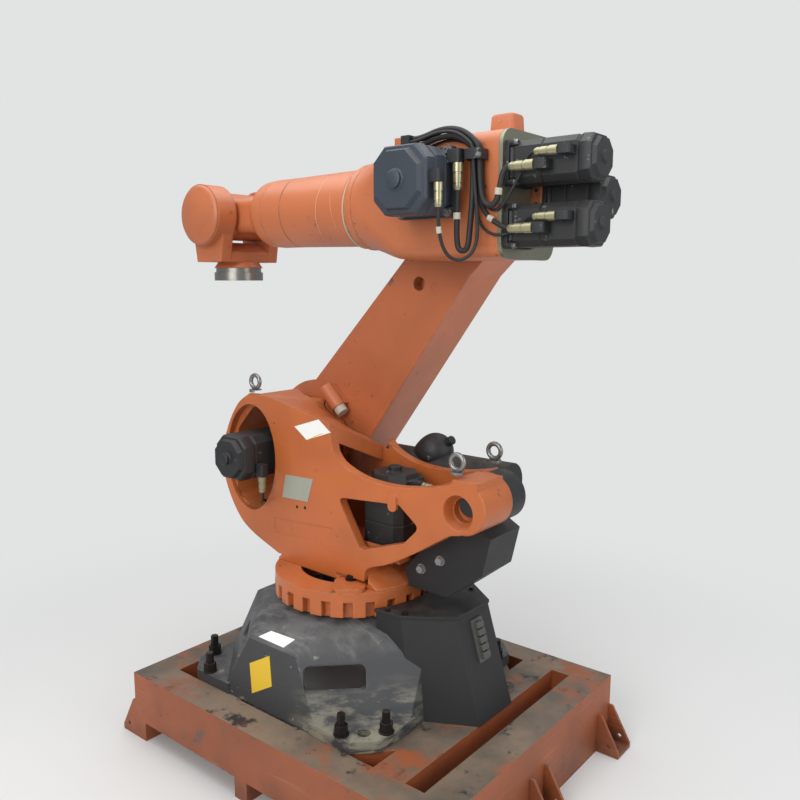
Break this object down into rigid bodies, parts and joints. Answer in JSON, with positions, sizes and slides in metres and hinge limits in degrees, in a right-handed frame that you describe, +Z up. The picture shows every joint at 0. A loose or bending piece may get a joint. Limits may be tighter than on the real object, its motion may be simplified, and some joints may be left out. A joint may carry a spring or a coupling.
{
  "type": "industrial robot arm on stand",
  "caption": "Large orange six-axis industrial robot arm in its transport pose, bolted to a welded steel stand with fork pockets.",
  "frame": {"origin": "on the floor under the turning axis of the base", "axes": "+X forward, the way the arm points; +Y to the robot's left; +Z up"},
  "size_m": [1.994, 1.298, 2.5676],
  "materials": {
    "stand_paint": "worn satin",
    "base_paint": "satin",
    "orange_paint": "satin",
    "black_sheet": "matte",
    "motor_black": "matte",
    "bare_steel": "satin",
    "zinc": "satin",
    "nylon": "matte",
    "cable": "matte",
    "connector": "satin"
  },
  "bodies": {
    "base": {"stand_frame": "stand_paint", "stand_runner_front": "stand_paint", "stand_runner_middle": "stand_paint", "stand_runner_rear": "stand_paint", "anchor_bracket_front_left": "stand_paint", "anchor_bracket_front_middle": "stand_paint", "anchor_bracket_front_right": "stand_paint", "anchor_bracket_rear_left": "stand_paint", "anchor_bracket_rear_middle": "stand_paint", "anchor_bracket_rear_right": "stand_paint", "base_casting": "base_paint", "slew_bearing": "bare_steel", "cable_housing": "black_sheet", "housing_lid": "black_sheet", "connector_panel": "black_sheet"},
    "column": {"turntable_ring": "orange_paint", "column_casting": "orange_paint", "a2_reducer": "orange_paint", "a2_motor": "motor_black", "a1_motor": "motor_black", "balancer_cylinder": "black_sheet", "balancer_cap": "motor_black", "accumulator": "motor_black", "pivot_plug": "motor_black", "eyebolt_front": "zinc", "eyebolt_mid": "zinc", "eyebolt_rear": "zinc", "cable_bracket": "black_sheet"},
    "link": {"link_arm": "orange_paint", "stop_boss": "orange_paint", "stop_buffer": "nylon"},
    "arm": {"arm_casting": "orange_paint", "motor_plate": "bare_steel", "arm_tube": "orange_paint", "a3_motor": "motor_black", "a4_motor": "motor_black", "a5_motor": "motor_black", "a6_motor": "motor_black", "top_boss": "orange_paint"},
    "wrist": {"wrist_neck": "orange_paint"},
    "hand": {"hand_fork": "orange_paint", "hand_dome_near": "orange_paint", "hand_dome_far": "orange_paint"},
    "flange": {"tool_flange": "bare_steel"}
  },
  "joints": [
    {"name": "a1_turn", "type": "hinge", "parent": "base", "child": "column", "pos_m": [0, 0, 0.661], "axis": [0, 0, 1], "range_deg": [-185, 185]},
    {"name": "a2_link", "type": "hinge", "parent": "column", "child": "link", "pos_m": [0.415, 0, 1.245], "axis": [0, 1, 0], "range_deg": [-10, 130]},
    {"name": "a3_arm", "type": "hinge", "parent": "link", "child": "arm", "pos_m": [-0.50991, 0, 2.33562], "axis": [0, -1, 0], "range_deg": [-14, 230]},
    {"name": "a4_roll", "type": "hinge", "parent": "arm", "child": "wrist", "pos_m": [0.72509, 0, 2.28662], "axis": [1, 0, 0], "range_deg": [-350, 350]},
    {"name": "a5_bend", "type": "hinge", "parent": "wrist", "child": "hand", "pos_m": [0.72509, 0, 2.28662], "axis": [0, -1, 0], "range_deg": [-35, 215]},
    {"name": "a6_turn", "type": "hinge", "parent": "hand", "child": "flange", "pos_m": [0.72509, 0, 2.08662], "axis": [0, 0, 1], "range_deg": [-350, 350]}
  ]
}
